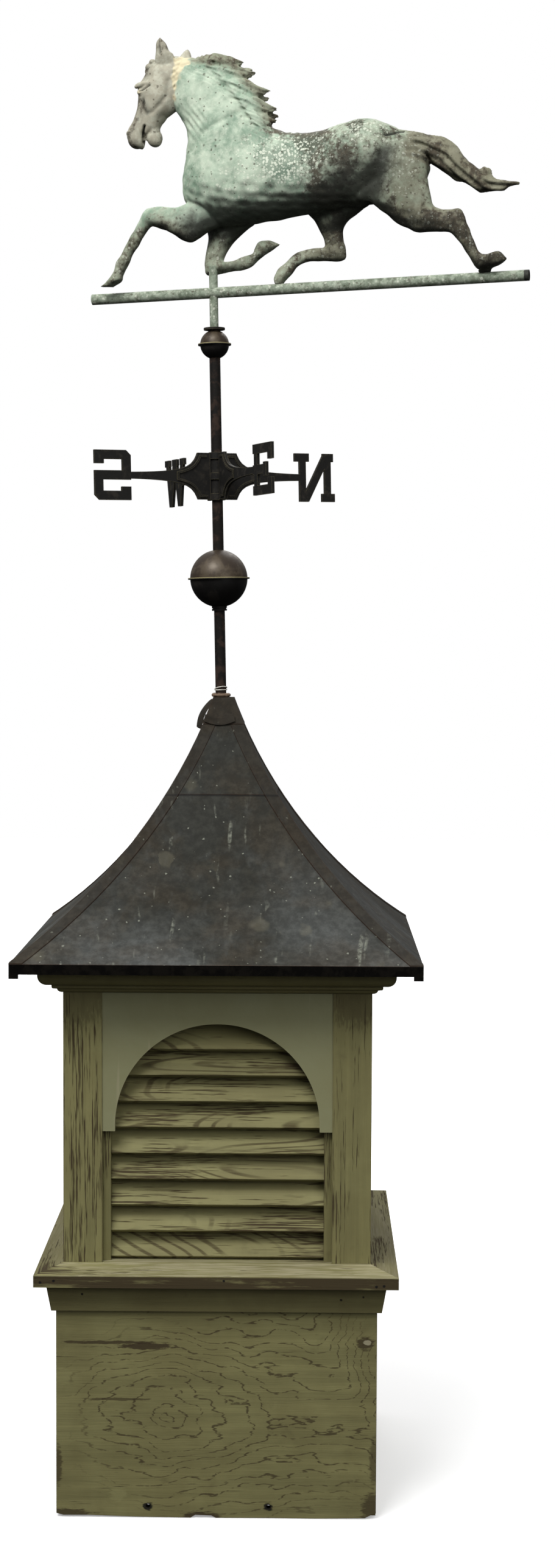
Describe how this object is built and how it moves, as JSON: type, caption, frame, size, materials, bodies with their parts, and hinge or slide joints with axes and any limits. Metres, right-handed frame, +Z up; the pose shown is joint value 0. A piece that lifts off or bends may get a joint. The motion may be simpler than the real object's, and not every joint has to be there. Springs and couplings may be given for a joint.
{
  "type": "barn roof cupola with running horse weathervane",
  "caption": "Square louvred wooden roof cupola with arched face panels, a bell-cast hipped copper roof, compass arms on a leaning mast and a turning horse weathervane.",
  "frame": {"origin": "centre of the square base's bottom edge, on the cupola's own vertical axis", "axes": "+Z up, the front with the two screw holes faces -Y, the horse's tail points to +X at rest"},
  "size_m": [0.9707, 0.767, 2.8551],
  "materials": {
    "weathered_paint": "worn olive-green paint over open grain",
    "smooth_paint": "smooth grey-green paint",
    "bare_timber": "rough sawn and dusty",
    "aged_copper": "dark brown-grey oxidised copper sheet",
    "dark_drip": "almost black folded sheet",
    "sealant": "lumpy aged sealant",
    "rusty_pipe": "dark rusted pipe",
    "cast_iron": "dark weathered casting",
    "dark_copper": "bronze-brown to black spun copper",
    "white_wire": "white covered wire",
    "verdigris_tube": "green copper tube",
    "verdigris_copper": "verdigris over brown copper",
    "cast_head": "grey-green cast metal"
  },
  "bodies": {
    "cupola": {"base_front": "weathered_paint", "base_right": "weathered_paint", "base_back": "weathered_paint", "base_left": "weathered_paint", "base_moulding_front_back": "weathered_paint", "base_moulding_sides": "weathered_paint", "sill_front_back": "weathered_paint", "sill_sides": "weathered_paint", "post_front_left": "weathered_paint", "post_front_right": "weathered_paint", "post_back_right": "weathered_paint", "post_back_left": "weathered_paint", "louvre_frames": "weathered_paint", "louvres_front": "weathered_paint", "louvres_right": "weathered_paint", "louvres_back": "weathered_paint", "louvres_left": "weathered_paint", "arch_front": "smooth_paint", "arch_right": "smooth_paint", "arch_back": "smooth_paint", "arch_left": "smooth_paint", "cornice_front_back": "weathered_paint", "cornice_sides": "weathered_paint", "soffit_frame": "weathered_paint", "drip_edge": "dark_drip", "mast_beam": "bare_timber", "roof_front": "aged_copper", "roof_right": "aged_copper", "roof_back": "aged_copper", "roof_left": "aged_copper", "hip_straps": "aged_copper", "roof_cap": "aged_copper", "flashing_collar": "sealant", "mast": "rusty_pipe", "mast_wire": "white_wire", "big_ball_bottom": "dark_copper", "big_ball_top": "dark_copper", "big_ball_collar": "dark_copper", "compass_hub": "cast_iron", "arm_north": "cast_iron", "arm_east": "cast_iron", "arm_south": "cast_iron", "arm_west": "cast_iron", "small_ball_bottom": "dark_copper", "small_ball_top": "dark_copper", "bearing_washer": "dark_copper"},
    "vane": {"vane_sleeve": "verdigris_tube", "vane_tube": "verdigris_tube", "horse_body": "verdigris_copper", "horse_head": "cast_head", "horse_mane": "verdigris_copper", "horse_tail": "verdigris_copper", "leg_front_raised": "verdigris_copper", "leg_front_bent": "verdigris_copper", "leg_hind_forward": "verdigris_copper", "leg_hind_back": "verdigris_copper"}
  },
  "joints": [
    {"name": "vane_spin", "type": "hinge", "parent": "cupola", "child": "vane", "pos_m": [-0.02095, 0, 2.28978], "axis": [-0.0209, 0, 0.9998], "continuous": true}
  ]
}
